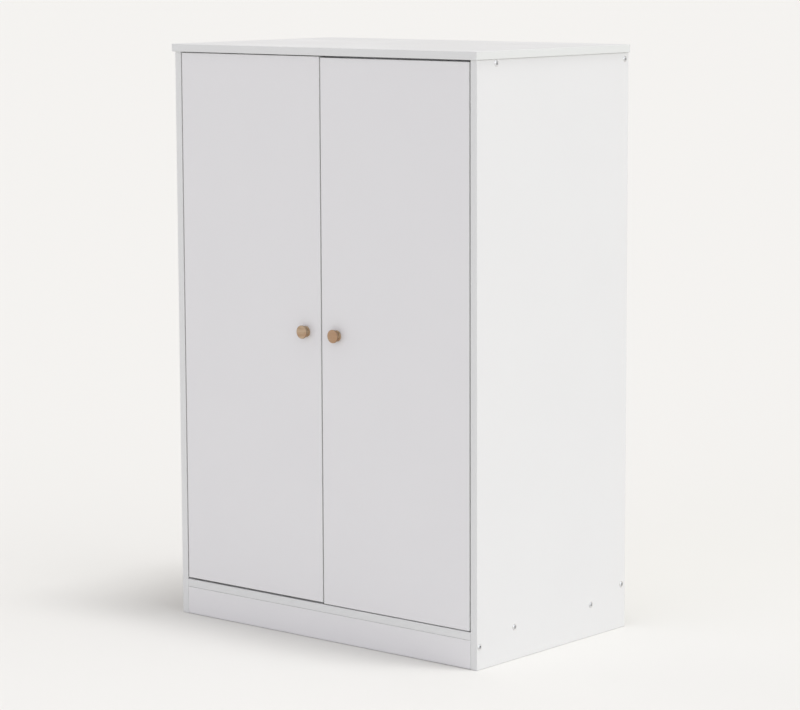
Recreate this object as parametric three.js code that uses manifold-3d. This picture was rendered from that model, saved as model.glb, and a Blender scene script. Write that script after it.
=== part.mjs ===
// A two-door wardrobe in white-faced board: inset doors on single-pivot cup hinges, round wooden knobs,
// a hanging rail inside and a thin two-leaf back.
// Millimetres, +Z up. The front faces -Y and the width runs along X. Sizes called y are measured back from
// the front edges of the side panels, and sizes called z up from the floor. The last lines move the whole
// wardrobe so that the origin lies on the floor under the middle of its box.
// Pieces of the left half are modelled at negative X, and the right half is the same geometry mirrored.
import * as THREE from "three";
import { mergeVertices } from "three/addons/utils/BufferGeometryUtils.js";
import Module from "manifold-3d";

// Boards
const overallHeight = 1200;
const carcassWidth = 800;
const sideDepth = 488;
const board = 16; // thickness of every faced board, doors included
const topSideOverhang = 4;
const topFrontOverhang = 6;
const plinthHeight = 58; // floor to the underside of the bottom panel
const plinthFloorGap = 0.5;
const frontRailWidth = 66;
const battenHeight = 32;
const jointGap = 0.2; // between boards that butt together, and under fittings screwed on them
const cutGap = 0.3; // around anything let into a hole

// Thin back: two leaves in rebates, joined by a strip of H section
const backThickness = 3;
const backSetIn = 5; // front face of the back, in from the side panels' rear edges
const rebateWidth = 8;
const leafClearance = 1;
const stripWidth = 24;
const stripFlange = 1;
const stripWeb = 2;

// Doors
const doorSideGap = 3;
const doorCentreGap = 3;
const doorTopGap = 3;
const doorBottomGap = 3;
const doorHang = { left: 1, right: -1 }; // how far each door is set above or below its middle height
const hingeEndInset = 100; // hinge centre, in from each end of the door

// Knobs
const knobInset = 40; // knob centre, in from the door's free edge
const knobProjection = 14.5;
const knobFaceRadius = 13.5;
const knobRim = 3.2; // thickness of the knob's disc
const knobEdgeRound = 1.2;
const knobNeckRadius = 8.2;
const knobBaseRadius = 11.2;
const knobBaseLip = 2.5;
const knobScrewRadius = 2;
const knobScrewHeadRadius = 4;
const knobScrewHeadHeight = 2.4;
const knobScrewBite = 8; // how deep the screw runs into the knob

// Screws through the side panels
const sideScrewLength = 50;
const sideScrewHeadRadius = 6;
const sideScrewHeadDome = 1.2; // how far the raised head stands out
const sideScrewHeadTaper = 3;
const sideScrewNeckRadius = 3.5;
const sideScrewNeckEnd = 15; // depth at which the neck becomes the thread
const sideScrewThreadRadius = 2.5;
const sideScrewTip = 3;
const sideScrewSocketAcross = 6;
const sideScrewSocketDepth = 2.8;
const topBattenScrewDrop = 13; // below the underside of the top
const lowBattenScrewRise = 17; // above the bottom panel
const plinthScrewDrop = 12; // below the bottom panel
const bottomScrewInset = 118; // in from the front and rear edges of the side panel

// Screws that hold the top, driven up through the front rail and the rear batten
const topScrewSpread = 250; // either side of the middle
const topScrewBite = 10; // how deep they run into the top
const topScrewHeadRadius = 4;
const topScrewHeadTaper = 2.5;
const topScrewRadius = 2;

// Hanging rail
const railRadius = 12.5;
const railWall = 1;
const railDrop = 64; // rail centre below the underside of the top
const railEndGap = 1;
const flangeThickness = 3;
const flangeScrewRoom = 0.5; // between the collar and a screw's head
const flangeEdgeLand = 2.3; // metal left outside a screw's head
const collarWall = 2;
const collarLength = 13;
const flangeScrewRadius = 1.75;
const flangeScrewHeadRadius = 3.2;
const flangeScrewHeadHeight = 1.6;
const flangeScrewLength = 15;

// Cup hinges
const cupRadius = 17.5;
const cupEdgeLand = 5; // wood left between the cup's hole and the door's edge
const cupBoreDepth = 12;
const cupWall = 0.8;
const cupFloor = 0.7;
const cupFlange = 1.2;
const cupFlangeRim = 2;
const wingLength = 60;
const wingWidth = 13;
const wingOffset = 6; // middle of the wings, past the cup's centre
const pivotFromBack = 8; // pivot axis, in from the door's rear face
const pinOffset = 7.5; // pivot axis, from the cup's centre towards the door's edge
const pinRadius = 1.5;
const pinGrip = 0.2; // how far the middle of the pin runs into the cup's wall
const knuckleRadius = 2.6;
const swingClearance = 1; // left between a swinging door corner and anything fixed
const hookReach = 13.5;
const hookThickness = 2.5;
const hookBend = 3;
const armWidth = 12;
const armHeight = 9;
const armLength = 58;
const armSkin = 1.6;
const plateThickness = 4;
const plateLength = 46;
const plateWidth = 16;
const plateInset = 8; // front end of the plate, behind the front end of the arm
const padLength = 18;
const padSpan = 48;
const padThickness = 2.5;

// How round the turned pieces are
const fineSides = 28;
const holeSides = 12;
const screwSides = 14;

// Places that follow from the sizes above
const half = carcassWidth / 2;
const innerHalf = half - board;
const underTop = overallHeight - board;
const floorTop = plinthHeight + board;
const backFace = sideDepth - backSetIn; // front face of the thin back
const doorWidth = innerHalf - doorSideGap - doorCentreGap / 2;
const doorHeight = underTop - floorTop - doorTopGap - doorBottomGap;
const doorEdge = -innerHalf + doorSideGap; // hinge-side edge of the left door
const doorFloor = floorTop + doorBottomGap;
const hingeHeights = {
  lower: doorFloor + hingeEndInset,
  upper: doorFloor + doorHeight - hingeEndInset,
};
const railHeight = underTop - railDrop;
const railDepth = (board + backFace) / 2;
const collarInner = railRadius + cutGap;
const collarOuter = collarInner + collarWall;
const flangeScrewSpread = collarOuter + flangeScrewRoom + flangeScrewHeadRadius; // from the rail's centre
const flangeRadius = flangeScrewSpread + flangeScrewHeadRadius + flangeEdgeLand;

// The pivot lies where the door's front corner just swings past the side panel, inside the cup.
const pivotY = board - pivotFromBack;
const swingRoom = doorSideGap - swingClearance;
const pivotFromEdge = Math.max(
  (pivotY ** 2 - swingRoom ** 2) / (2 * swingRoom),
  cupRadius + cupEdgeLand - pinOffset,
);
const pivotX = doorEdge + pivotFromEdge;
const cupX = pivotX + pinOffset;
const doorSweep = Math.hypot(pivotFromEdge, Math.max(pivotY, pivotFromBack));
const clearOfDoor = pivotY + doorSweep + swingClearance;

// Finishes
const finishes = {
  whiteBoard: { color: 0xeeeeec, roughness: 0.42, metalness: 0 },
  whiteBack: { color: 0xe6e4df, roughness: 0.7, metalness: 0 },
  whitePlastic: { color: 0xe8e8e6, roughness: 0.45, metalness: 0 },
  beech: { color: 0xb98f63, roughness: 0.55, metalness: 0 },
  zincSteel: { color: 0xaab0b3, roughness: 0.35, metalness: 1 },
  nickelSteel: { color: 0xb9b8b4, roughness: 0.28, metalness: 1 },
  chrome: { color: 0xd4d6d8, roughness: 0.12, metalness: 1 },
};

const wasm = await Module();
wasm.setup();

// A closed geometry as a manifold solid.
function toSolid(geometry) {
  const bare = geometry.index ? geometry.toNonIndexed() : geometry.clone();
  bare.deleteAttribute("normal");
  bare.deleteAttribute("uv");
  const merged = mergeVertices(bare, 1e-4);
  return new wasm.Manifold(
    new wasm.Mesh({
      numProp: 3,
      vertProperties: merged.getAttribute("position").array,
      triVerts: new Uint32Array(merged.index.array),
    }),
  );
}

function toGeometry(solid) {
  const mesh = solid.getMesh();
  const geometry = new THREE.BufferGeometry();
  geometry.setAttribute("position", new THREE.BufferAttribute(new Float32Array(mesh.vertProperties), 3));
  geometry.setIndex(new THREE.BufferAttribute(new Uint32Array(mesh.triVerts), 1));
  geometry.computeVertexNormals();
  return geometry;
}

function cut(base, cutters) {
  let solid = toSolid(base);
  for (const cutter of cutters) {
    solid = solid.subtract(toSolid(cutter));
  }
  return toGeometry(solid);
}

function join(pieces) {
  let solid = toSolid(pieces[0]);
  for (const piece of pieces.slice(1)) {
    solid = solid.add(toSolid(piece));
  }
  return toGeometry(solid);
}

// A rectangular block between two x, two y and two z values.
function block([x0, x1], [y0, y1], [z0, z1]) {
  const geometry = new THREE.BoxGeometry(x1 - x0, y1 - y0, z1 - z0);
  return geometry.translate((x0 + x1) / 2, (y0 + y1) / 2, (z0 + z1) / 2);
}

// A solid turned about the Y axis from a profile of [radius, y] points that runs up from axis to axis.
function turned(profile, sides) {
  const points = profile.map(([radius, y]) => new THREE.Vector2(radius, y));
  return new THREE.LatheGeometry(points, sides);
}

function rod(radius, y0, y1, sides) {
  const profile = [
    [0, y0],
    [radius, y0],
    [radius, y1],
    [0, y1],
  ];
  return turned(profile, sides);
}

// A flat outline in X and Y, made solid between two z values.
function extruded(shape, z0, z1, curveSegments = 6) {
  const geometry = new THREE.ExtrudeGeometry(shape, { depth: z1 - z0, bevelEnabled: false, curveSegments });
  return geometry.translate(0, 0, z0);
}

// Turned pieces stand along Y: these lay them along X or up Z with the profile's low end first.
const alongX = (geometry) => geometry.rotateZ(-Math.PI / 2);
const upZ = (geometry) => geometry.rotateX(Math.PI / 2);

function piece(name, geometry, finish) {
  const mesh = new THREE.Mesh(geometry, new THREE.MeshStandardMaterial(finishes[finish]));
  mesh.name = name;
  return mesh;
}

// Where the screws cross the side panels.
const rearBattenY = backFace - board / 2;
const sideScrews = {
  front_rail: { y: clearOfDoor + frontRailWidth / 2, z: underTop - board / 2 },
  top_batten: { y: rearBattenY, z: underTop - topBattenScrewDrop },
  plinth: { y: board / 2, z: plinthHeight - plinthScrewDrop },
  bottom_front: { y: bottomScrewInset, z: plinthHeight + board / 2 },
  bottom_rear: { y: sideDepth - bottomScrewInset, z: plinthHeight + board / 2 },
  low_batten: { y: rearBattenY, z: floorTop + lowBattenScrewRise },
};

// A screw with a raised tapered head, which meets the side panel's face at x = -half.
function sideScrew() {
  const domeSteps = 3;
  const dome = [0, 1, 2].map((step) => {
    const across = step / domeSteps;
    return [across * sideScrewHeadRadius, sideScrewHeadDome * (across ** 2 - 1)];
  });
  const body = turned(
    [
      ...dome,
      [sideScrewHeadRadius, 0],
      [sideScrewNeckRadius, sideScrewHeadTaper],
      [sideScrewNeckRadius, sideScrewNeckEnd],
      [sideScrewThreadRadius, sideScrewNeckEnd],
      [sideScrewThreadRadius, sideScrewLength - sideScrewTip],
      [0, sideScrewLength],
    ],
    screwSides,
  );
  const socketRadius = sideScrewSocketAcross / 2 / Math.cos(Math.PI / 6);
  const socket = rod(socketRadius, -2 * sideScrewHeadDome, sideScrewSocketDepth, 6);
  return alongX(cut(body, [socket])).translate(-half, 0, 0);
}

// The hole that a side screw fills, through the side panel and on into the next board.
function sideScrewHole({ y, z }) {
  const overshoot = 1;
  const slope = (sideScrewHeadRadius - sideScrewNeckRadius) / sideScrewHeadTaper;
  const hole = turned(
    [
      [0, -overshoot],
      [sideScrewHeadRadius + cutGap + slope * overshoot, -overshoot],
      [sideScrewNeckRadius + cutGap, sideScrewHeadTaper],
      [sideScrewNeckRadius + cutGap, board + jointGap],
      [sideScrewThreadRadius + cutGap, board + jointGap],
      [sideScrewThreadRadius + cutGap, sideScrewLength + cutGap],
      [0, sideScrewLength + cutGap],
    ],
    screwSides,
  );
  return alongX(hole).translate(-half, y, z);
}

// Both ends of a board that runs between the side panels.
function endHoles(...names) {
  return names.flatMap((name) => {
    const left = sideScrewHole(sideScrews[name]);
    const right = left.clone().rotateZ(Math.PI);
    right.translate(0, 2 * sideScrews[name].y, 0);
    return [left, right];
  });
}

// Screws that hold the top: place, head height and length.
const topScrews = {
  front: { y: sideScrews.front_rail.y, z: underTop - jointGap - board },
  rear: { y: rearBattenY, z: underTop - jointGap - battenHeight },
};

function topScrew({ y, z }) {
  const length = underTop + topScrewBite - z;
  const body = turned(
    [
      [0, 0],
      [topScrewHeadRadius, 0],
      [topScrewRadius, topScrewHeadTaper],
      [topScrewRadius, length - topScrewRadius],
      [0, length],
    ],
    screwSides,
  );
  return upZ(body).translate(0, y, z);
}

function topScrewHole({ y, z }, x) {
  const overshoot = 1;
  const slope = (topScrewHeadRadius - topScrewRadius) / topScrewHeadTaper;
  const hole = turned(
    [
      [0, -overshoot],
      [topScrewHeadRadius + cutGap + slope * overshoot, -overshoot],
      [topScrewRadius + cutGap, topScrewHeadTaper],
      [topScrewRadius + cutGap, underTop + topScrewBite - z + cutGap],
      [0, underTop + topScrewBite - z + cutGap],
    ],
    screwSides,
  );
  return upZ(hole).translate(x, y, z);
}

const topScrewHoles = (screw) => [topScrewHole(screw, -topScrewSpread), topScrewHole(screw, topScrewSpread)];

// Hanging rail ends: screw places above and below the rail, and the screws' holes.
const flangeScrewHeights = [railHeight - flangeScrewSpread, railHeight + flangeScrewSpread];

function flangeScrewHole(z) {
  const start = flangeThickness + 1;
  const depth = flangeScrewLength - flangeThickness + cutGap;
  const hole = rod(flangeScrewRadius + cutGap, -depth, start, holeSides);
  return alongX(hole).translate(-innerHalf, railDepth, z);
}

// Carcass boards
function sidePanel() {
  const panel = block([-half, -innerHalf], [0, sideDepth], [0, underTop - jointGap]);
  const past = 1;
  const rebate = block(
    [-innerHalf - rebateWidth, -innerHalf + past],
    [backFace, sideDepth + past],
    [-past, underTop + past],
  );
  const screwHoles = Object.values(sideScrews).map(sideScrewHole);
  return cut(panel, [rebate, ...screwHoles, ...flangeScrewHeights.map(flangeScrewHole)]);
}

function crossBoard(y, z, holes) {
  const span = innerHalf - jointGap;
  return cut(block([-span, span], y, z), holes);
}

function topPanel() {
  const reach = half + topSideOverhang;
  const panel = block([-reach, reach], [-topFrontOverhang, sideDepth], [underTop, overallHeight]);
  return cut(panel, [...topScrewHoles(topScrews.front), ...topScrewHoles(topScrews.rear)]);
}

function carcass() {
  const group = new THREE.Group();
  const battenY = [backFace - jointGap - board, backFace - jointGap];
  const frontRailY = [clearOfDoor, clearOfDoor + frontRailWidth];
  const topZ = underTop - jointGap;
  const frontRailHoles = [...endHoles("front_rail"), ...topScrewHoles(topScrews.front)];
  const topBattenHoles = [...endHoles("top_batten"), ...topScrewHoles(topScrews.rear)];
  group.add(
    piece("top_panel", topPanel(), "whiteBoard"),
    piece(
      "bottom_panel",
      crossBoard([0, backFace - jointGap], [plinthHeight, floorTop], endHoles("bottom_front", "bottom_rear")),
      "whiteBoard",
    ),
    piece(
      "plinth_board",
      crossBoard([0, board], [plinthFloorGap, plinthHeight - jointGap], endHoles("plinth")),
      "whiteBoard",
    ),
    piece("top_front_rail", crossBoard(frontRailY, [topZ - board, topZ], frontRailHoles), "whiteBoard"),
    piece("top_rear_batten", crossBoard(battenY, [topZ - battenHeight, topZ], topBattenHoles), "whiteBoard"),
    piece(
      "low_rear_batten",
      crossBoard(battenY, [floorTop + jointGap, floorTop + battenHeight], endHoles("low_batten")),
      "whiteBoard",
    ),
  );
  return group;
}

// One leaf of the back, from its rebate to the joining strip.
const leafY = [backFace + jointGap, backFace + jointGap + backThickness];

function backLeaf() {
  const outer = -innerHalf - rebateWidth + leafClearance;
  const inner = -stripWeb / 2 - leafClearance;
  const low = plinthHeight + leafClearance;
  return block([outer, inner], leafY, [low, underTop - leafClearance]);
}

// The strip's section is an H over the leaves, and it loses its front flange where the battens pass.
function backStrip() {
  const low = floorTop + battenHeight + leafClearance;
  const high = underTop - jointGap - battenHeight - leafClearance;
  const whole = [plinthHeight + leafClearance, underTop - leafClearance];
  const front = leafY[0] - jointGap - stripFlange;
  const rear = leafY[1] + jointGap + stripFlange;
  const web = [-stripWeb / 2, stripWeb / 2];
  const flange = [-stripWidth / 2, stripWidth / 2];
  return join([
    block(web, [front, rear], [low, high]),
    block(web, [leafY[0], rear], whole),
    block(flange, [front, front + stripFlange], [low, high]),
    block(flange, [rear - stripFlange, rear], whole),
  ]);
}

// Doors
function door(hang) {
  const low = doorFloor + hang;
  const panel = block([doorEdge, doorEdge + doorWidth], [0, board], [low, low + doorHeight]);
  const cupHoles = Object.values(hingeHeights).map((z) => {
    return rod(cupRadius + cutGap, board - cupBoreDepth, board + 1, fineSides).translate(cupX, 0, z);
  });
  const knobHole = rod(knobScrewRadius + cutGap, -1, board + 1, holeSides);
  knobHole.translate(doorEdge + doorWidth - knobInset, 0, low + doorHeight / 2);
  return cut(panel, [...cupHoles, knobHole]);
}

// The knob stands out from y = 0 towards -Y: a flat disc on a waisted base, with a hole for its screw.
function knob() {
  const rounding = 4;
  const front = -knobProjection;
  const profile = [
    [0, front],
    [knobFaceRadius - knobEdgeRound, front],
  ];
  for (let step = 1; step <= rounding; step += 1) {
    const angle = (step / rounding) * (Math.PI / 2);
    profile.push([
      knobFaceRadius - knobEdgeRound + knobEdgeRound * Math.sin(angle),
      front + knobEdgeRound - knobEdgeRound * Math.cos(angle),
    ]);
  }
  profile.push(
    [knobFaceRadius, front + knobRim],
    [knobNeckRadius + knobEdgeRound, front + knobRim + knobEdgeRound],
    [knobNeckRadius, front + knobRim + 2 * knobEdgeRound],
    [knobNeckRadius, -knobBaseLip - knobEdgeRound],
    [knobBaseRadius, -knobBaseLip],
    [knobBaseRadius, -jointGap],
    [0, -jointGap],
  );
  const bore = rod(knobScrewRadius + cutGap, -knobScrewBite - 1, 1, holeSides);
  return cut(turned(profile, fineSides), [bore]);
}

function knobScrew() {
  const seat = board + jointGap;
  const profile = [
    [0, -knobScrewBite],
    [knobScrewRadius, -knobScrewBite],
    [knobScrewRadius, seat],
    [knobScrewHeadRadius, seat],
    [knobScrewHeadRadius, seat + knobScrewHeadHeight / 2],
    [knobScrewHeadRadius / 2, seat + knobScrewHeadHeight],
    [0, seat + knobScrewHeadHeight],
  ];
  return turned(profile, screwSides);
}

// Cup hinges. The cup, its flange and its pin are one pressing that turns with the door.
function hingeCup() {
  const floorY = board - cupBoreDepth + cutGap;
  const inner = cupRadius - cupWall;
  const seat = board + jointGap;
  const bowl = turned(
    [
      [0, floorY],
      [cupRadius, floorY],
      [cupRadius, seat],
      [cupRadius + cupFlangeRim, seat],
      [cupRadius + cupFlangeRim, seat + cupFlange],
      [inner, seat + cupFlange],
      [inner, floorY + cupFloor],
      [0, floorY + cupFloor],
    ],
    fineSides,
  );
  const wings = block(
    [wingOffset - wingWidth / 2, wingOffset + wingWidth / 2],
    [seat, seat + cupFlange],
    [-wingLength / 2, wingLength / 2],
  );
  const mouth = rod(inner, seat - 1, seat + cupFlange + 1, fineSides);
  const pinReach = Math.sqrt(inner ** 2 - pinOffset ** 2) + pinGrip;
  const pin = upZ(rod(pinRadius, -pinReach, pinReach, holeSides)).translate(-pinOffset, pivotY, 0);
  return join([bowl, cut(wings, [mouth]), pin]).translate(cupX, 0, 0);
}

// The arm's outline in plan: a straight bar along the side panel with a hook that reaches round the door's
// corner and into the cup, where it turns on the pin.
function hingeArm() {
  const base = -innerHalf + plateThickness;
  const top = base + armHeight;
  const back = clearOfDoor + armLength;
  const outerX = pivotX + hookReach + hookThickness / 2;
  const innerX = outerX - hookThickness;
  const hookFront = pivotY - hookThickness / 2;
  const hookRear = pivotY + hookThickness / 2;
  const shoulder = clearOfDoor + hookThickness;
  const outline = new THREE.Shape();
  outline.moveTo(base, back);
  outline.lineTo(base, clearOfDoor);
  outline.lineTo(innerX, clearOfDoor);
  outline.lineTo(innerX, hookRear);
  outline.lineTo(pivotX, hookRear);
  outline.lineTo(pivotX, hookFront);
  outline.lineTo(outerX - hookBend, hookFront);
  outline.quadraticCurveTo(outerX, hookFront, outerX, hookFront + hookBend);
  outline.lineTo(outerX, shoulder - hookBend);
  outline.quadraticCurveTo(outerX, shoulder, outerX - hookBend, shoulder);
  outline.lineTo(top + hookBend, shoulder);
  outline.quadraticCurveTo(top, shoulder, top, shoulder + hookBend);
  outline.lineTo(top, back);
  outline.closePath();
  const bar = extruded(outline, -armWidth / 2, armWidth / 2);
  const knuckle = upZ(rod(knuckleRadius, -armWidth / 2, armWidth / 2, holeSides));
  knuckle.translate(pivotX, pivotY, 0);
  const pinHole = upZ(rod(pinRadius + cutGap, -armWidth, armWidth, holeSides));
  pinHole.translate(pivotX, pivotY, 0);
  const channel = block(
    [base - 1, top - armSkin],
    [shoulder + armSkin, back + 1],
    [-armWidth / 2 + armSkin, armWidth / 2 - armSkin],
  );
  return cut(join([bar, knuckle]), [pinHole, channel]);
}

// The mounting plate: a bar under the arm with a broad pad for its two screws.
function hingePlate() {
  const base = -innerHalf + jointGap;
  const top = -innerHalf + plateThickness - jointGap;
  const front = clearOfDoor + plateInset;
  const middle = front + plateLength / 2;
  const padEnd = padSpan / 2;
  return join([
    block([base, top], [front, front + plateLength], [-plateWidth / 2, plateWidth / 2]),
    block([base, base + padThickness], [middle - padLength / 2, middle + padLength / 2], [-padEnd, padEnd]),
  ]);
}

// Hanging rail: a tube between two screwed flanges with collars.
function hangingRail() {
  const reach = innerHalf - flangeThickness - railEndGap;
  const tube = rod(railRadius, -reach, reach, fineSides);
  const bore = rod(railRadius - railWall, -reach - 1, reach + 1, fineSides);
  return alongX(cut(tube, [bore])).translate(0, railDepth, railHeight);
}

function railFlange() {
  const profile = [
    [0, 0],
    [flangeRadius, 0],
    [flangeRadius, flangeThickness / 2],
    [flangeRadius - flangeThickness / 2, flangeThickness],
    [collarOuter, flangeThickness],
    [collarOuter, collarLength],
    [collarInner, collarLength],
    [collarInner, flangeThickness],
    [0, flangeThickness],
  ];
  const flange = alongX(turned(profile, fineSides)).translate(-innerHalf + jointGap, railDepth, railHeight);
  return cut(flange, flangeScrewHeights.map(flangeScrewHole));
}

function flangeScrew() {
  const seat = flangeThickness + 2 * jointGap;
  const profile = [
    [0, seat - flangeScrewLength],
    [flangeScrewRadius, seat - flangeScrewLength + flangeScrewRadius],
    [flangeScrewRadius, seat],
    [flangeScrewHeadRadius, seat],
    [flangeScrewHeadRadius, seat + flangeScrewHeadHeight / 2],
    [flangeScrewHeadRadius / 2, seat + flangeScrewHeadHeight],
    [0, seat + flangeScrewHeadHeight],
  ];
  return alongX(turned(profile, screwSides)).translate(-innerHalf, railDepth, 0);
}

// One half of the wardrobe. The left half is as modelled, and the right half is mirrored in X.
function halfOf(side) {
  const group = new THREE.Group();
  group.scale.x = side === "left" ? 1 : -1;
  const hang = doorHang[side];
  const place = (mesh, x, y, z) => {
    mesh.position.set(x, y, z);
    group.add(mesh);
  };
  group.add(
    piece(`${side}_side_panel`, sidePanel(), "whiteBoard"),
    piece(`${side}_back_leaf`, backLeaf(), "whiteBack"),
    piece(`${side}_door`, door(hang), "whiteBoard"),
    piece(`${side}_rail_flange`, railFlange(), "chrome"),
  );
  const knobX = doorEdge + doorWidth - knobInset;
  const knobZ = doorFloor + hang + doorHeight / 2;
  place(piece(`${side}_knob`, knob(), "beech"), knobX, 0, knobZ);
  place(piece(`${side}_knob_screw`, knobScrew(), "zincSteel"), knobX, 0, knobZ);
  for (const [name, at] of Object.entries(sideScrews)) {
    place(piece(`${side}_screw_${name}`, sideScrew(), "zincSteel"), 0, at.y, at.z);
  }
  for (const [name, z] of Object.entries(hingeHeights)) {
    place(piece(`${side}_hinge_${name}_cup`, hingeCup(), "nickelSteel"), 0, 0, z);
    place(piece(`${side}_hinge_${name}_arm`, hingeArm(), "nickelSteel"), 0, 0, z);
    place(piece(`${side}_hinge_${name}_plate`, hingePlate(), "nickelSteel"), 0, 0, z);
  }
  for (const [index, z] of flangeScrewHeights.entries()) {
    place(piece(`${side}_rail_screw_${index + 1}`, flangeScrew(), "zincSteel"), 0, 0, z);
  }
  for (const [name, screw] of Object.entries(topScrews)) {
    place(piece(`${side}_top_screw_${name}`, topScrew(screw), "zincSteel"), -topScrewSpread, 0, 0);
  }
  return group;
}

const wardrobe = new THREE.Group();
wardrobe.add(
  carcass(),
  halfOf("left"),
  halfOf("right"),
  piece("back_strip", backStrip(), "whitePlastic"),
  piece("hanging_rail", hangingRail(), "chrome"),
);
wardrobe.position.y = -(sideDepth - Math.max(knobProjection, topFrontOverhang)) / 2;

export default wardrobe;
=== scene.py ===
import math

import bmesh
import bpy
from mathutils import Matrix, Quaternion, Vector


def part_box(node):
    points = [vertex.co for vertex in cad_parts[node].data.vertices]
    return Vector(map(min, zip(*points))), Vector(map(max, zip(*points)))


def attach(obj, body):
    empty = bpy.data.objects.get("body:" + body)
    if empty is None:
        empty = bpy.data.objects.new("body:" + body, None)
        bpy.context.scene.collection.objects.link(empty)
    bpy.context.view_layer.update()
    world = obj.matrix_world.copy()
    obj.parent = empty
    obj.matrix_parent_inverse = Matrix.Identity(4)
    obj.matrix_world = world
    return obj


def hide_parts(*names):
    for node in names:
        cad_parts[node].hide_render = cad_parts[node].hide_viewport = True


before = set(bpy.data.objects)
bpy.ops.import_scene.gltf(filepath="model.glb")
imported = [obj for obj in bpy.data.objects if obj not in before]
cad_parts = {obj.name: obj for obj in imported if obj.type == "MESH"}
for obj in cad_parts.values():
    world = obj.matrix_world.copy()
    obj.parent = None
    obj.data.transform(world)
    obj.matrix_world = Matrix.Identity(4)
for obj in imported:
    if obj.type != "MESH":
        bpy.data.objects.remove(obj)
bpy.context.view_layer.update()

# A two-door wardrobe in white-faced board. Sizes in the dictionaries are millimetres unless a note
# says otherwise, sizes inside materials are metres, and places come from the frame.
mm = 0.001
sides = ("left", "right")
inwards = {"left": 1, "right": -1}  # from each side panel towards the middle
hingeRows = ("lower", "upper")


# a node with its own settings, and a value or another node's output for each of its sockets
def addNode(tree, kind, settings=None, **inputs):
    node = tree.nodes.new(kind)
    for name, value in (settings or {}).items():
        setattr(node, name, value)
    for name, value in inputs.items():
        setInput(tree, node, name, value)
    return node


# a socket is either joined to another node's output or given a plain value
def setInput(tree, node, name, value):
    socket = node.inputs[int(name[1:])] if name[0] == "i" and name[1:].isdigit() else node.inputs[name]
    if isinstance(value, bpy.types.NodeSocket):
        tree.links.new(value, socket)
    elif value is not None:
        socket.default_value = value


def maths(tree, operation, a, b):
    return addNode(tree, "ShaderNodeMath", {"operation": operation}, i0=a, i1=b).outputs[0]


def smoothRange(tree, value, low, high, outLow=0.0, outHigh=1.0):
    node = addNode(tree, "ShaderNodeMapRange", {"interpolation_type": "SMOOTHSTEP"}, Value=value)
    for name, number in (("From Min", low), ("From Max", high), ("To Min", outLow), ("To Max", outHigh)):
        setInput(tree, node, name, number)
    return node.outputs["Result"]


def mixColour(tree, share, first, second, blend="MIX"):
    node = addNode(tree, "ShaderNodeMix", {"data_type": "RGBA", "blend_type": blend})
    setInput(tree, node, "i0", share)
    setInput(tree, node, "i6", first)
    setInput(tree, node, "i7", second)
    return node.outputs[2]


def objectPlace(tree):
    return addNode(tree, "ShaderNodeTexCoord").outputs["Object"]


# places drawn out by a factor along each axis, which draws a pattern out where the factor is small
def stretched(tree, place, factors):
    return addNode(tree, "ShaderNodeVectorMath", {"operation": "MULTIPLY"}, i0=place, i1=factors).outputs[0]


def newGroup(name, inputs, outputs):
    group = bpy.data.node_groups.new(name, "ShaderNodeTree")
    for label, kind, value in inputs:
        socket = group.interface.new_socket(name=label, in_out="INPUT", socket_type=kind)
        socket.default_value = value
    for label, kind in outputs:
        group.interface.new_socket(name=label, in_out="OUTPUT", socket_type=kind)
    start = group.nodes.new("NodeGroupInput")
    end = group.nodes.new("NodeGroupOutput")
    return group, start, end


def useGroup(tree, group, **values):
    node = tree.nodes.new("ShaderNodeGroup")
    node.node_tree = group
    for name, value in values.items():
        setInput(tree, node, name.replace("_", " "), value)
    return node


# fine relief of a pressed or painted surface, and how its brightness wanders
def makeSurfaceGrain():
    group, start, end = newGroup(
        "surface grain",
        [
            ("Scale", "NodeSocketFloat", 1200.0),
            ("Stretch", "NodeSocketVector", (1.0, 1.0, 1.0)),
            ("Cloud Scale", "NodeSocketFloat", 9.0),
        ],
        [("Height", "NodeSocketFloat"), ("Cloud", "NodeSocketFloat"), ("Speck", "NodeSocketFloat")],
    )
    place = stretched(group, objectPlace(group), start.outputs["Stretch"])
    fine = addNode(group, "ShaderNodeTexNoise", Vector=place, Scale=start.outputs["Scale"])
    fine.inputs["Detail"].default_value = 3.0
    fine.inputs["Roughness"].default_value = 0.6
    cloud = addNode(group, "ShaderNodeTexNoise", Vector=objectPlace(group))
    setInput(group, cloud, "Scale", start.outputs["Cloud Scale"])
    cloud.inputs["Detail"].default_value = 4.0
    speckScale = maths(group, "MULTIPLY", start.outputs["Scale"], 0.35)
    speck = addNode(group, "ShaderNodeTexVoronoi", Vector=place, Scale=speckScale)
    group.links.new(fine.outputs[0], end.inputs["Height"])
    group.links.new(cloud.outputs[0], end.inputs["Cloud"])
    group.links.new(smoothRange(group, speck.outputs["Distance"], 0.0, 0.16, 1.0, 0.0), end.inputs["Speck"])
    return group


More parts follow.
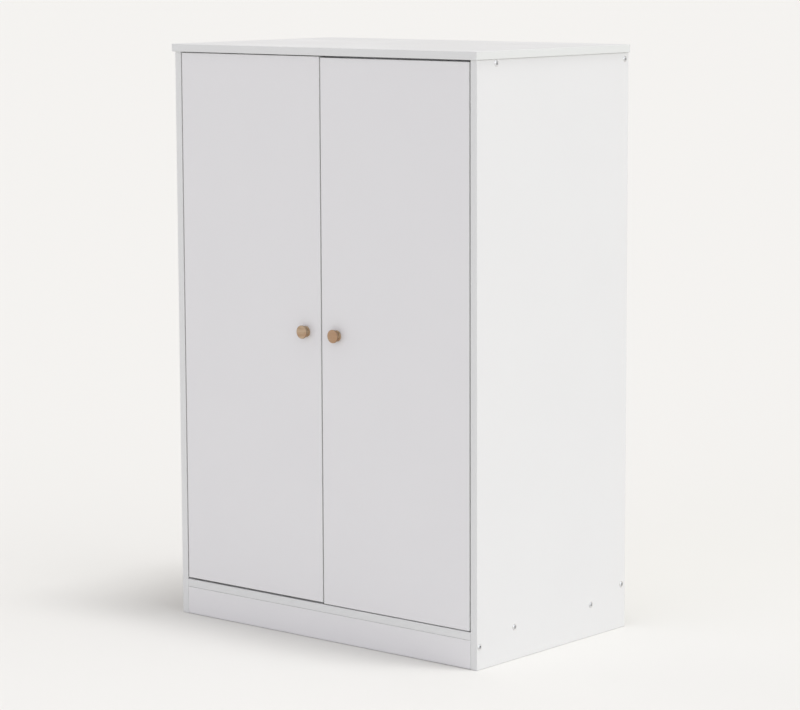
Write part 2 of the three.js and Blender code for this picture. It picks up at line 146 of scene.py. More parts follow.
# how far a point of a board is from its nearest edge, from the corners kept on each board's mesh:
# a point on a face is level with one pair of sides, so the middle one of the three distances counts
def makeBoardEdges():
    group, start, end = newGroup(
        "board edges",
        [
            ("Tape Thickness", "NodeSocketFloat", 0.0008),
            ("Line Width", "NodeSocketFloat", 0.00012),
            ("Wear Reach", "NodeSocketFloat", 0.004),
        ],
        [("Tape Line", "NodeSocketFloat"), ("Wear", "NodeSocketFloat")],
    )
    place = objectPlace(group)
    low = addNode(group, "ShaderNodeAttribute", {"attribute_name": "boardLow"}).outputs["Vector"]
    high = addNode(group, "ShaderNodeAttribute", {"attribute_name": "boardHigh"}).outputs["Vector"]
    fromLow = addNode(group, "ShaderNodeVectorMath", {"operation": "SUBTRACT"}, i0=place, i1=low)
    fromHigh = addNode(group, "ShaderNodeVectorMath", {"operation": "SUBTRACT"}, i0=high, i1=place)
    least = addNode(
        group, "ShaderNodeVectorMath", {"operation": "MINIMUM"}, i0=fromLow.outputs[0], i1=fromHigh.outputs[0]
    )
    parts = addNode(group, "ShaderNodeSeparateXYZ", Vector=least.outputs[0]).outputs
    smaller = maths(group, "MINIMUM", parts[0], parts[1])
    larger = maths(group, "MAXIMUM", parts[0], parts[1])
    edge = maths(group, "MAXIMUM", smaller, maths(group, "MINIMUM", larger, parts[2]))
    line = addNode(
        group, "ShaderNodeMath", {"operation": "COMPARE"}, i0=edge, i1=start.outputs["Tape Thickness"]
    )
    setInput(group, line, "i2", start.outputs["Line Width"])
    patches = addNode(group, "ShaderNodeTexNoise", Vector=place, Scale=140.0, Detail=5.0, Roughness=0.7)
    near = maths(group, "SUBTRACT", 1.0, maths(group, "DIVIDE", edge, start.outputs["Wear Reach"]))
    worn = maths(group, "MULTIPLY", maths(group, "MAXIMUM", near, 0.0), patches.outputs[0])
    group.links.new(line.outputs[0], end.inputs["Tape Line"])
    group.links.new(smoothRange(group, worn, 0.46, 0.62), end.inputs["Wear"])
    return group


# dull patches that hands and cloths leave on a smooth surface
def makeHandling():
    group, start, end = newGroup(
        "handling marks",
        [("Scale", "NodeSocketFloat", 6.0), ("Sharpness", "NodeSocketFloat", 0.2)],
        [("Mask", "NodeSocketFloat")],
    )
    place = objectPlace(group)
    smears = addNode(
        group, "ShaderNodeTexNoise", Vector=place, Scale=start.outputs["Scale"], Detail=6.0, Distortion=0.8
    )
    low = maths(group, "SUBTRACT", 0.55, start.outputs["Sharpness"])
    high = maths(group, "ADD", 0.55, start.outputs["Sharpness"])
    group.links.new(smoothRange(group, smears.outputs[0], low, high), end.inputs["Mask"])
    return group


# the drawn or ground lines of metal, long in one direction
def makeMetalLines():
    group, start, end = newGroup(
        "metal lines",
        [("Scale", "NodeSocketFloat", 700.0), ("Stretch", "NodeSocketVector", (1.0, 1.0, 1.0))],
        [("Height", "NodeSocketFloat"), ("Tarnish", "NodeSocketFloat")],
    )
    place = stretched(group, objectPlace(group), start.outputs["Stretch"])
    lines = addNode(group, "ShaderNodeTexNoise", Vector=place, Scale=start.outputs["Scale"], Detail=2.0)
    bloom = addNode(group, "ShaderNodeTexNoise", Vector=objectPlace(group), Scale=220.0, Detail=5.0)
    group.links.new(lines.outputs[0], end.inputs["Height"])
    group.links.new(smoothRange(group, bloom.outputs[0], 0.42, 0.7), end.inputs["Tarnish"])
    return group


surfaceGrain = makeSurfaceGrain()
boardEdges = makeBoardEdges()
handlingMarks = makeHandling()
metalLines = makeMetalLines()
print("shared effects ready")


# a new material with its tree and its shader
def newFinish(name):
    material = bpy.data.materials.new(name)
    material.use_nodes = True
    tree = material.node_tree
    return material, tree, tree.nodes["Principled BSDF"]


def bumpFrom(tree, shader, height, depth, strength=1.0):
    bump = addNode(tree, "ShaderNodeBump", Height=height, Distance=depth, Strength=strength)
    tree.links.new(bump.outputs["Normal"], shader.inputs["Normal"])


# roughness that goes from smooth to rough with a mask
def roughFrom(tree, shader, mask, smooth, rough, low=0.0, high=1.0):
    tree.links.new(smoothRange(tree, mask, low, high, smooth, rough), shader.inputs["Roughness"])


melamine = {
    "colour": (0.775, 0.772, 0.765, 1),
    "clouded": (0.755, 0.752, 0.748, 1),
    "tapeLine": (0.5, 0.49, 0.47, 1),
    "wornEdge": (0.6, 0.585, 0.56, 1),
    "roughness": 0.36,
    "smearedRoughness": 0.46,
    "relief": 0.00002,
}


# the facing of the boards: satin white with a fine pressed texture, and the line where the edge tape starts
def makeMelamine():
    material, tree, shader = newFinish("white melamine")
    grain = useGroup(tree, surfaceGrain, Scale=1300.0, Cloud_Scale=5.0)
    edges = useGroup(tree, boardEdges)
    marks = useGroup(tree, handlingMarks, Scale=4.0)
    base = mixColour(tree, grain.outputs["Cloud"], melamine["colour"], melamine["clouded"])
    worn = mixColour(tree, maths(tree, "MULTIPLY", edges.outputs["Wear"], 0.35), base, melamine["wornEdge"])
    lined = mixColour(tree, edges.outputs["Tape Line"], worn, melamine["tapeLine"])
    tree.links.new(lined, shader.inputs["Base Color"])
    roughFrom(tree, shader, marks.outputs["Mask"], melamine["roughness"], melamine["smearedRoughness"])
    bumpFrom(tree, shader, grain.outputs["Height"], melamine["relief"], 0.7)
    return material


edgeTape = {
    "colour": (0.738, 0.747, 0.728, 1),
    "clouded": (0.718, 0.727, 0.71, 1),
    "wornEdge": (0.56, 0.545, 0.52, 1),
    "roughness": 0.34,
    "rippledRoughness": 0.44,
    "relief": 0.000016,
}


# plastic tape on the boards' narrow edges, with the faint ripple that its trimming leaves
def makeEdgeTape():
    material, tree, shader = newFinish("white edge tape")
    grain = useGroup(tree, surfaceGrain, Scale=620.0, Cloud_Scale=14.0)
    edges = useGroup(tree, boardEdges, Wear_Reach=0.0022)
    base = mixColour(tree, grain.outputs["Cloud"], edgeTape["colour"], edgeTape["clouded"])
    worn = mixColour(tree, maths(tree, "MULTIPLY", edges.outputs["Wear"], 0.5), base, edgeTape["wornEdge"])
    tree.links.new(worn, shader.inputs["Base Color"])
    cloud = grain.outputs["Cloud"]
    roughFrom(tree, shader, cloud, edgeTape["roughness"], edgeTape["rippledRoughness"], 0.3, 0.7)
    bumpFrom(tree, shader, grain.outputs["Height"], edgeTape["relief"], 0.6)
    return material


chipboard = {
    "pale": (0.52, 0.37, 0.22, 1),
    "dark": (0.24, 0.15, 0.08, 1),
    "flake": (0.66, 0.52, 0.34, 1),
    "flakeScale": 420.0,
    "roughness": 0.92,
    "relief": 0.00025,
}


# cut chipboard, which shows in rebates and holes: pressed flakes of mixed size and tone
def makeChipboard():
    material, tree, shader = newFinish("raw chipboard")
    place = objectPlace(tree)
    flakes = addNode(tree, "ShaderNodeTexVoronoi", Vector=place, Scale=chipboard["flakeScale"])
    tone = addNode(tree, "ShaderNodeSeparateColor", Color=flakes.outputs["Color"]).outputs[0]
    grit = addNode(tree, "ShaderNodeTexNoise", Vector=place, Scale=1500.0, Detail=4.0)
    base = mixColour(tree, tone, chipboard["dark"], chipboard["pale"])
    bright = smoothRange(tree, grit.outputs[0], 0.52, 0.68)
    tree.links.new(mixColour(tree, bright, base, chipboard["flake"]), shader.inputs["Base Color"])
    shader.inputs["Roughness"].default_value = chipboard["roughness"]
    bumpFrom(tree, shader, grit.outputs[0], chipboard["relief"])
    return material


hardboard = {
    "colour": (0.72, 0.71, 0.685, 1),
    "clouded": (0.675, 0.665, 0.635, 1),
    "fibre": (0.58, 0.55, 0.5, 1),
    "roughness": 0.62,
    "smearedRoughness": 0.75,
    "relief": 0.00006,
}


# thin fibre sheet with a coat of white lacquer that lets the fibres through as faint relief
def makeHardboard():
    material, tree, shader = newFinish("lacquered hardboard")
    grain = useGroup(tree, surfaceGrain, Scale=480.0, Stretch=(1.0, 1.0, 0.35), Cloud_Scale=7.0)
    marks = useGroup(tree, handlingMarks, Scale=3.0, Sharpness=0.12)
    base = mixColour(tree, grain.outputs["Cloud"], hardboard["colour"], hardboard["clouded"])
    fibres = maths(tree, "MULTIPLY", grain.outputs["Speck"], 0.22)
    tree.links.new(mixColour(tree, fibres, base, hardboard["fibre"]), shader.inputs["Base Color"])
    roughFrom(tree, shader, marks.outputs["Mask"], hardboard["roughness"], hardboard["smearedRoughness"])
    bumpFrom(tree, shader, grain.outputs["Height"], hardboard["relief"])
    return material


plastic = {
    "colour": (0.74, 0.74, 0.725, 1),
    "clouded": (0.7, 0.7, 0.685, 1),
    "roughness": 0.4,
    "smearedRoughness": 0.52,
    "relief": 0.00002,
}


# extruded strip with faint lines along its length
def makePlastic():
    material, tree, shader = newFinish("white plastic strip")
    grain = useGroup(tree, surfaceGrain, Scale=900.0, Stretch=(1.0, 1.0, 0.02), Cloud_Scale=12.0)
    marks = useGroup(tree, handlingMarks, Scale=11.0)
    base = mixColour(tree, grain.outputs["Cloud"], plastic["colour"], plastic["clouded"])
    tree.links.new(base, shader.inputs["Base Color"])
    roughFrom(tree, shader, marks.outputs["Mask"], plastic["roughness"], plastic["smearedRoughness"])
    bumpFrom(tree, shader, grain.outputs["Height"], plastic["relief"])
    return material


beech = {
    "pale": (0.515, 0.375, 0.235, 1),
    "tan": (0.42, 0.282, 0.16, 1),
    "red": (0.44, 0.256, 0.137, 1),
    "fleck": (0.23, 0.135, 0.07, 1),
    # painted shade: the share of its brightness that the turned edge and the neck keep, standing in for the
    # shade that falls there
    "paintedRimShade": 0.66,  # how much of its brightness the turned edge keeps
    "ringScale": 190.0,
    "ringStretch": (0.16, 0.5, 1.0),
    "poreScale": 2400.0,
    "poreStretch": (0.07, 0.4, 1.0),
    "fleckScale": 620.0,
    "fleckStretch": (0.3, 1.0, 1.0),
    "warmthScale": 34.0,
    "grainTilt": math.radians(6),
    "roughness": 0.44,
    "bandRoughness": 0.54,
    "relief": 0.00005,
}


# turned knobs: level grain with soft growth bands, short dark flecks, a thin satin lacquer, and painted shade
# that darkens the turned edge behind the face and the neck
def makeBeech():
    material, tree, shader = newFinish("turned wood")
    turned = addNode(
        tree, "ShaderNodeMapping", Vector=objectPlace(tree), Rotation=(0.0, beech["grainTilt"], 0.0)
    ).outputs[0]
    level = stretched(tree, turned, beech["ringStretch"])
    bands = addNode(tree, "ShaderNodeTexNoise", Vector=level, Detail=3.0, Distortion=0.6)
    bands.inputs["Scale"].default_value = beech["ringScale"]
    fine = stretched(tree, turned, beech["poreStretch"])
    pores = addNode(tree, "ShaderNodeTexNoise", Vector=fine, Scale=beech["poreScale"], Detail=3.0)
    dashes = stretched(tree, turned, beech["fleckStretch"])
    flecks = addNode(tree, "ShaderNodeTexVoronoi", Vector=dashes, Scale=beech["fleckScale"])
    warmth = addNode(tree, "ShaderNodeTexNoise", Vector=turned, Scale=beech["warmthScale"], Detail=1.0)
    band = smoothRange(tree, bands.outputs[0], 0.4, 0.62)
    base = mixColour(tree, band, beech["pale"], beech["tan"])
    warm = mixColour(tree, smoothRange(tree, warmth.outputs[0], 0.42, 0.6, 0.0, 0.75), base, beech["red"])
    fleck = smoothRange(tree, flecks.outputs["Distance"], 0.05, 0.22, 0.55, 0.0)
    flecked = mixColour(tree, fleck, warm, beech["fleck"])
    poreShade = smoothRange(tree, pores.outputs[0], 0.5, 0.75, 0.0, 0.3)
    porous = mixColour(tree, poreShade, flecked, beech["fleck"])
    # painted shade, darkest just behind the face and across the neck, and lighter towards the seat on the
    # door
    along = addNode(tree, "ShaderNodeAttribute", {"attribute_name": "along"}).outputs["Fac"]
    behindFace = smoothRange(tree, along, 0.0, 0.03)
    nearDoor = smoothRange(tree, along, 0.35, 0.75, 0.0, 0.7)
    rim = maths(tree, "SUBTRACT", behindFace, nearDoor)
    paintedShadeTint = mixColour(tree, rim, (1, 1, 1, 1), (beech["paintedRimShade"],) * 3 + (1,))
    tree.links.new(mixColour(tree, 1.0, porous, paintedShadeTint, "MULTIPLY"), shader.inputs["Base Color"])
    roughFrom(tree, shader, band, beech["roughness"], beech["bandRoughness"])
    shader.inputs["Coat Weight"].default_value = 0.12
    shader.inputs["Coat Roughness"].default_value = 0.3
    bumpFrom(tree, shader, pores.outputs[0], beech["relief"], 0.8)
    return material


metals = {
    "zinc": {
        "bright": (0.77, 0.775, 0.78, 1), "dull": (0.48, 0.485, 0.49, 1), "tarnish": 0.5,
        "roughness": 0.26, "dullRoughness": 0.42, "relief": 0.00003,
        "lines": 900.0, "stretch": (1.0, 1.0, 1.0),
    },
    "nickel": {
        "bright": (0.66, 0.65, 0.62, 1), "dull": (0.5, 0.49, 0.46, 1), "tarnish": 0.35,
        "roughness": 0.22, "dullRoughness": 0.31, "relief": 0.000015,
        "lines": 800.0, "stretch": (1.0, 0.06, 1.0),
    },
    "chrome": {
        "bright": (0.78, 0.79, 0.8, 1), "dull": (0.66, 0.67, 0.68, 1), "tarnish": 0.2,
        "roughness": 0.09, "dullRoughness": 0.15, "relief": 0.000006,
        "lines": 1100.0, "stretch": (0.03, 1.0, 1.0),
    },
}


def makeMetal(name, sizes):
    material, tree, shader = newFinish(name)
    lines = useGroup(tree, metalLines, Scale=sizes["lines"], Stretch=sizes["stretch"])
    marks = useGroup(tree, handlingMarks, Scale=45.0)
    tint = maths(tree, "MULTIPLY", lines.outputs["Tarnish"], sizes["tarnish"])
    tree.links.new(mixColour(tree, tint, sizes["bright"], sizes["dull"]), shader.inputs["Base Color"])
    shader.inputs["Metallic"].default_value = 1.0
    roughFrom(tree, shader, marks.outputs["Mask"], sizes["roughness"], sizes["dullRoughness"])
    bumpFrom(tree, shader, lines.outputs["Height"], sizes["relief"], 0.5)
    return material


boardFinishes = [makeMelamine(), makeEdgeTape(), makeChipboard()]
backFinish = makeHardboard()
stripFinish = makePlastic()
knobFinish = makeBeech()
zincFinish = makeMetal("zinc plating", metals["zinc"])
nickelFinish = makeMetal("nickel plating", metals["nickel"])
chromeFinish = makeMetal("chrome plating", metals["chrome"])
print("finishes ready")


# rounds the corners between the ends of an outline; a closed one has every corner rounded
def filleted(points, radius, steps, closed=False):
    corners = [Vector(p) for p in points]
    count = len(corners)
    rounded = [] if closed else [corners[0]]
    for i in range(count) if closed else range(1, count - 1):
        corner, before, after = corners[i], corners[i - 1], corners[(i + 1) % count]
        back, on = before - corner, after - corner
        reach = min(radius, 0.45 * back.length, 0.45 * on.length)
        start, end = corner + back.normalized() * reach, corner + on.normalized() * reach
        for step in range(steps + 1):
            t = step / steps
            rounded.append((1 - t) ** 2 * start + 2 * t * (1 - t) * corner + t * t * end)
    return rounded if closed else rounded + [corners[-1]]


# the reach of a ring's point at an angle: round, a driver's hexagon, or a driver's cross
def ringReach(radius, shape, angle):
    if shape == "hexagon":
        return radius / math.cos(angle % (math.pi / 3) - math.pi / 6)
    if shape == "cross":
        turn = (angle + math.pi / 4) % (math.pi / 2) - math.pi / 4
        return min(radius, 0.22 * radius / max(abs(math.sin(turn)), 1e-3))
    return radius


# turns an outline of (radius, height) about Z; it starts and ends on the axis, or closes on itself
def lathe(bm, outline, segments, shapes=None, loop=False):
    rings = []
    for index, (radius, height) in enumerate(outline):
        if radius < 1e-6:
            rings.append([bm.verts.new((0, 0, height))])
            continue
        shape = shapes[index] if shapes else "round"
        ring = []
        for step in range(segments):
            angle = 2 * math.pi * step / segments
            reach = ringReach(radius, shape, angle)
            ring.append(bm.verts.new((reach * math.cos(angle), reach * math.sin(angle), height)))
        rings.append(ring)
    if loop:
        rings.append(rings[0])
    for lower, upper in zip(rings, rings[1:]):
        for step in range(segments):
            after = (step + 1) % segments
            corners = [lower[step % len(lower)], lower[after % len(lower)]]
            corners += [upper[after % len(upper)], upper[step % len(upper)]]
            corners = list(dict.fromkeys(corners))
            if len(corners) > 2:
                bm.faces.new(corners)


# stands a flat outline up between two heights
def slab(bm, outline, low, high):
    lower = [bm.verts.new((p[0], p[1], low)) for p in outline]
    upper = [bm.verts.new((p[0], p[1], high)) for p in outline]
    bm.faces.new(list(reversed(lower)))
    bm.faces.new(upper)
    for i in range(len(outline)):
        after = (i + 1) % len(outline)
        bm.faces.new((lower[i], lower[after], upper[after], upper[i]))


def smoothed(mesh, angle=32):
    mesh.polygons.foreach_set("use_smooth", [True] * len(mesh.polygons))
    mesh.set_sharp_from_angle(angle=math.radians(angle))
    return mesh


def newObject(name, mesh):
    piece = bpy.data.objects.new(name, mesh)
    bpy.context.scene.collection.objects.link(piece)
    return piece


# a mesh built in millimetres about its own origin, put in its place with its faces outwards
def pieceFrom(bm, name, finish, place=Matrix.Identity(4)):
    bmesh.ops.transform(bm, matrix=place @ Matrix.Scale(mm, 4), verts=bm.verts)
    bmesh.ops.recalc_face_normals(bm, faces=bm.faces)
    mesh = bpy.data.meshes.new(name)
    bm.to_mesh(mesh)
    bm.free()
    mesh.materials.append(finish)
    return newObject(name, smoothed(mesh))


def finished(piece, body, nodes):
    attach(piece, body)
    if nodes:
        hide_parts(*nodes)
    return piece


# swaps a piece's live modifiers for the plain mesh that they make
def plainMesh(piece):
    evaluated = piece.evaluated_get(bpy.context.evaluated_depsgraph_get())
    mesh = bpy.data.meshes.new_from_object(evaluated)
    piece.modifiers.clear()
    old = piece.data
    piece.data = mesh
    bpy.data.meshes.remove(old)
    mesh.name = piece.name
    return mesh


# marks the edges where two sides of a piece's box meet, so that holes keep their crisp rims
def markBoxEdges(mesh):
    low, high = cornersOf(mesh)
    marks = []
    for edge in mesh.edges:
        a, b = (mesh.vertices[index].co for index in edge.vertices)
        planes = sum(
            max(abs(a[axis] - corner[axis]), abs(b[axis] - corner[axis])) < 0.00001
            for corner in (low, high)
            for axis in range(3)
        )
        marks.append(1.0 if planes == 2 else 0.0)
    mesh.attributes.new("bevel_weight_edge", "FLOAT", "EDGE").data.foreach_set("value", marks)


def cornersOf(mesh):
    places = [vertex.co for vertex in mesh.vertices]
    low = Vector(min(place[axis] for place in places) for axis in range(3))
    high = Vector(max(place[axis] for place in places) for axis in range(3))
    return low, high


weldDistance = 0.000005  # metres
flatAngle = math.radians(0.5)
creaseAngle = 34  # degrees; a sharper corner is rounded and stays a crease


# a copy of a frame node with its flat faces made whole and its edges rounded
def softened(node, name, width, segments=3, boxEdges=False):
    bm = bmesh.new()
    bm.from_mesh(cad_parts[node].data)
    bmesh.ops.remove_doubles(bm, verts=bm.verts, dist=weldDistance)
    bmesh.ops.dissolve_limit(bm, angle_limit=flatAngle, verts=bm.verts, edges=bm.edges)
    mesh = bpy.data.meshes.new(name)
    bm.to_mesh(mesh)
    bm.free()
    piece = newObject(name, mesh)
    mesh.materials.clear()
    if boxEdges:
        markBoxEdges(mesh)
    smoothed(mesh, creaseAngle)
    bevel = piece.modifiers.new("rounded edges", "BEVEL")
    bevel.width = width * mm
    bevel.segments = segments
    bevel.limit_method = "WEIGHT" if boxEdges else "ANGLE"
    bevel.angle_limit = math.radians(creaseAngle)
    flat = piece.modifiers.new("flat faces", "WEIGHTED_NORMAL")
    flat.weight = 100
    flat.keep_sharp = True
    plainMesh(piece)
    return piece


boards = {
    "nodes": (
        "top_panel", "bottom_panel", "plinth_board", "top_front_rail", "top_rear_batten", "low_rear_batten",
    ),
    "edgeRound": 0.9,
    "rawDepth": 1.2,  # a surface this far inside the board's box was cut after facing
}


# the faced sides are melamine, the rim is tape, and whatever was cut later is bare
def finishBoard(piece):
    mesh = piece.data
    low, high = cornersOf(mesh)
    thin = min(range(3), key=lambda i: high[i] - low[i])
    for finish in boardFinishes:
        mesh.materials.append(finish)
    for face in mesh.polygons:
        centre = face.center
        depth = min(min(centre[i] - low[i], high[i] - centre[i]) for i in range(3))
        if depth > boards["rawDepth"] * mm:
            face.material_index = 2
        else:
            face.material_index = 0 if abs(face.normal[thin]) > 0.99 else 1
    for name, corner in (("boardLow", low), ("boardHigh", high)):
        kept = mesh.attributes.new(name, "FLOAT_VECTOR", "POINT")
        kept.data.foreach_set("vector", list(corner) * len(mesh.vertices))


def makeBoard(node, body):
    piece = softened(node, node.replace("_", "-"), boards["edgeRound"], boxEdges=True)
    finishBoard(piece)
    return finished(piece, body, [node])


for node in boards["nodes"]:
    makeBoard(node, "carcass")
for side in sides:
    makeBoard(side + "_side_panel", "carcass")
    makeBoard(side + "_door", side + "_door")
print("boards ready")


thinBack = {"leafEdge": 0.25, "stripEdge": 0.25}


# two thin sheets and the strip that joins them
def makeBack():
    for side in sides:
        leaf = softened(side + "_back_leaf", side + "-back-leaf", thinBack["leafEdge"], 2)
        leaf.data.materials.append(backFinish)
        finished(leaf, "carcass", [side + "_back_leaf"])
    strip = softened("back_strip", "back-strip", thinBack["stripEdge"], 2)
    strip.data.materials.append(stripFinish)
    finished(strip, "carcass", ["back_strip"])


makeBack()
print("back ready")


screws = {
    "panel": {  # side panel screws: raised head, hexagon socket, coarse thread
        "headRadius": 6.0, "dome": 1.2, "taper": 3.0, "neckRadius": 3.5, "neckEnd": 15.0,
        "rootRadius": 1.9, "crestRadius": 2.75, "pitch": 2.6, "length": 50.0,
        "recess": "hexagon", "recessRadius": 3.0, "recessDepth": 2.8,
    },
    "top": {  # countersunk, driven up into the top
        "headRadius": 4.0, "dome": 0.1, "taper": 2.5, "neckRadius": 2.0, "neckEnd": 8.0,
        "rootRadius": 1.5, "crestRadius": 2.2, "pitch": 1.8, "length": 26.0,
        "recess": "cross", "recessRadius": 2.3, "recessDepth": 1.6,
    },
    "flange": {  # small round heads on the rail's flanges
        "headRadius": 3.2, "dome": 1.6, "taper": 0.0, "neckRadius": 1.75, "neckEnd": 3.0,
        "rootRadius": 1.3, "crestRadius": 1.95, "pitch": 1.4, "length": 15.0,
        "recess": "cross", "recessRadius": 1.7, "recessDepth": 1.0,
    },
    "hinge": {  # low heads that hold the hinges
        "headRadius": 3.4, "dome": 1.3, "taper": 0.0, "neckRadius": 1.8, "neckEnd": 3.0,
        "rootRadius": 1.3, "crestRadius": 1.95, "pitch": 1.4, "length": 13.0,
        "recess": "cross", "recessRadius": 1.9, "recessDepth": 0.9,
    },
    "arm": {  # short setting screws in the hinge arms
        "headRadius": 2.6, "dome": 0.8, "taper": 0.0, "neckRadius": 1.6, "neckEnd": 1.5,
        "rootRadius": 1.4, "crestRadius": 1.7, "pitch": 0.8, "length": 4.5,
        "recess": "cross", "recessRadius": 1.5, "recessDepth": 0.6,
    },
    "knob": {  # flat round heads inside the doors
        "headRadius": 4.0, "dome": 2.2, "taper": 0.0, "neckRadius": 2.0, "neckEnd": 20.0,
        "rootRadius": 1.7, "crestRadius": 2.1, "pitch": 0.7, "length": 24.0,
        "recess": "cross", "recessRadius": 2.2, "recessDepth": 1.3,
    },
}


screwShape = {
    "sides": 48,
    "crownSteps": 6,
    "landMargin": 1.25,  # where the crown stops, as a share of the recess's radius
    "rimShare": 0.96,  # and how high that is, as a share of the dome
    "recessTaper": 0.8,
    "recessPoint": 0.3,
}


# one screw with its head's seat at the origin, its head upwards and its shank downwards
def screwModel(name, sizes):
    head, dome, taper = sizes["headRadius"], sizes["dome"], sizes["taper"]
    recess, depth = sizes["recessRadius"], sizes["recessDepth"]
    shares = [step / screwShape["crownSteps"] for step in range(screwShape["crownSteps"] + 1)]
    if taper:
        crown = [(head * (1 - share), dome * (1 - (1 - share) ** 2)) for share in shares]
    else:
        crown = [(head * math.cos(a), dome * math.sin(a)) for a in (math.pi / 2 * share for share in shares)]
    shank = [(0, -sizes["length"])]
    height = -sizes["length"] + 2 * sizes["rootRadius"]
    while height < -sizes["neckEnd"] - sizes["pitch"]:
        shank.append((sizes["rootRadius"], height))
        shank.append((sizes["crestRadius"], height + 0.5 * sizes["pitch"]))
        height += sizes["pitch"]
    shank += [(sizes["neckRadius"], -sizes["neckEnd"]), (sizes["neckRadius"], -taper)]
    outer = [point for point in crown if point[0] > screwShape["landMargin"] * recess]
    rim = dome * screwShape["rimShare"]
    base = rim - depth
    socket = [(recess, rim), (recess * screwShape["recessTaper"], base)]
    socket.append((0, base - screwShape["recessPoint"]))
    outline = shank + outer + socket
    shapes = ["round"] * (len(outline) - 3) + [sizes["recess"]] * 2 + ["round"]
    bm = bmesh.new()
    lathe(bm, outline, screwShape["sides"], shapes)
    return pieceFrom(bm, name, zincFinish)


nail = {
    "outline": [(0, -18), (0.6, -16.5), (0.6, 0), (2.1, 0), (2.3, 0.2), (2.1, 0.5), (1.2, 0.62), (0, 0.66)],
    "sides": 20,
}


# a small nail, its flat head just proud of the sheet
def nailModel():
    bm = bmesh.new()
    lathe(bm, nail["outline"], nail["sides"])
    return pieceFrom(bm, "nail model", zincFinish)


def newGeometryTree(name, inputs):
    tree = bpy.data.node_groups.new(name, "GeometryNodeTree")
    tree.interface.new_socket(name="Geometry", in_out="INPUT", socket_type="NodeSocketGeometry")
    for label, kind, value in inputs:
        socket = tree.interface.new_socket(name=label, in_out="INPUT", socket_type=kind)
        if value is not None:
            socket.default_value = value
    tree.interface.new_socket(name="Geometry", in_out="OUTPUT", socket_type="NodeSocketGeometry")
    return tree, tree.nodes.new("NodeGroupInput"), tree.nodes.new("NodeGroupOutput")


# the shared end of each tree: real geometry with its finish
def endTree(tree, end, geometry, finish):
    real = addNode(tree, "GeometryNodeRealizeInstances", Geometry=geometry)
    coated = addNode(tree, "GeometryNodeSetMaterial", Geometry=real.outputs[0], Material=finish)
    tree.links.new(coated.outputs[0], end.inputs[0])


# stands a copy of a model on each point, turned to the point's aim and given a turn of its own
def makeScrewTree():
    tree, start, end = newGeometryTree(
        "screws on points",
        [
            ("Screw", "NodeSocketObject", None),
            ("Finish", "NodeSocketMaterial", None),
            ("Turn", "NodeSocketFloat", math.pi),
            ("Seed", "NodeSocketInt", 3),
        ],
    )
    aim = addNode(tree, "GeometryNodeInputNamedAttribute", {"data_type": "FLOAT_VECTOR"}, Name="aim")
    facing = addNode(tree, "FunctionNodeAlignRotationToVector", {"axis": "Z"}, Vector=aim.outputs[0])
    chance = addNode(tree, "FunctionNodeRandomValue", {"data_type": "FLOAT"}, Seed=start.outputs["Seed"])
    chance.inputs[2].default_value = 0.0
    tree.links.new(start.outputs["Turn"], chance.inputs[3])
    spin = addNode(tree, "FunctionNodeAxisAngleToRotation", Axis=(0.0, 0.0, 1.0), Angle=chance.outputs[1])
    turned = addNode(tree, "FunctionNodeRotateRotation", {"rotation_space": "LOCAL"})
    tree.links.new(facing.outputs[0], turned.inputs[0])
    tree.links.new(spin.outputs[0], turned.inputs[1])
    model = addNode(tree, "GeometryNodeObjectInfo", Object=start.outputs["Screw"])
    copies = addNode(tree, "GeometryNodeInstanceOnPoints", Points=start.outputs["Geometry"])
    tree.links.new(model.outputs["Geometry"], copies.inputs["Instance"])
    tree.links.new(turned.outputs[0], copies.inputs["Rotation"])
    endTree(tree, end, copies.outputs[0], start.outputs["Finish"])
    return tree


# sets nails at even steps along each path, all facing one way and none quite straight
def makeNailTree():
    tree, start, end = newGeometryTree(
        "nails along paths",
        [
            ("Nail", "NodeSocketObject", None),
            ("Finish", "NodeSocketMaterial", None),
            ("Spacing", "NodeSocketFloat", 0.1),
            ("Facing", "NodeSocketVector", (0.0, 1.0, 0.0)),
            ("Lean", "NodeSocketFloat", 0.05),
            ("Seed", "NodeSocketInt", 5),
        ],
    )
    path = addNode(tree, "GeometryNodeMeshToCurve", Mesh=start.outputs["Geometry"])
    steps = addNode(tree, "GeometryNodeResampleCurve", {"mode": "LENGTH"}, Curve=path.outputs[0])
    setInput(tree, steps, "Length", start.outputs["Spacing"])
    chance = addNode(tree, "FunctionNodeRandomValue", {"data_type": "FLOAT_VECTOR"})
    setInput(tree, chance, "Seed", start.outputs["Seed"])
    chance.inputs[0].default_value = (-1.0, -1.0, -1.0)
    chance.inputs[1].default_value = (1.0, 1.0, 1.0)
    lean = addNode(tree, "ShaderNodeVectorMath", {"operation": "SCALE"}, i0=chance.outputs[0])
    setInput(tree, lean, "Scale", start.outputs["Lean"])
    aim = addNode(
        tree, "ShaderNodeVectorMath", {"operation": "ADD"}, i0=start.outputs["Facing"], i1=lean.outputs[0]
    )
    facing = addNode(tree, "FunctionNodeAlignRotationToVector", {"axis": "Z"}, Vector=aim.outputs[0])
    model = addNode(tree, "GeometryNodeObjectInfo", Object=start.outputs["Nail"])
    copies = addNode(tree, "GeometryNodeInstanceOnPoints", Points=steps.outputs[0])
    tree.links.new(model.outputs["Geometry"], copies.inputs["Instance"])
    tree.links.new(facing.outputs[0], copies.inputs["Rotation"])
    endTree(tree, end, copies.outputs[0], start.outputs["Finish"])
    return tree


# runs a tree on a start mesh and keeps the result as a plain mesh
def grown(name, mesh, tree, values):
    piece = newObject(name, mesh)
    modifier = piece.modifiers.new(tree.name, "NODES")
    modifier.node_group = tree
    sockets = [item for item in tree.interface.items_tree if item.item_type == "SOCKET"]
    ids = {item.name: item.identifier for item in sockets if item.in_out == "INPUT"}
    for label, value in values.items():
        modifier[ids[label]] = value
    smoothed(plainMesh(piece))
    return piece


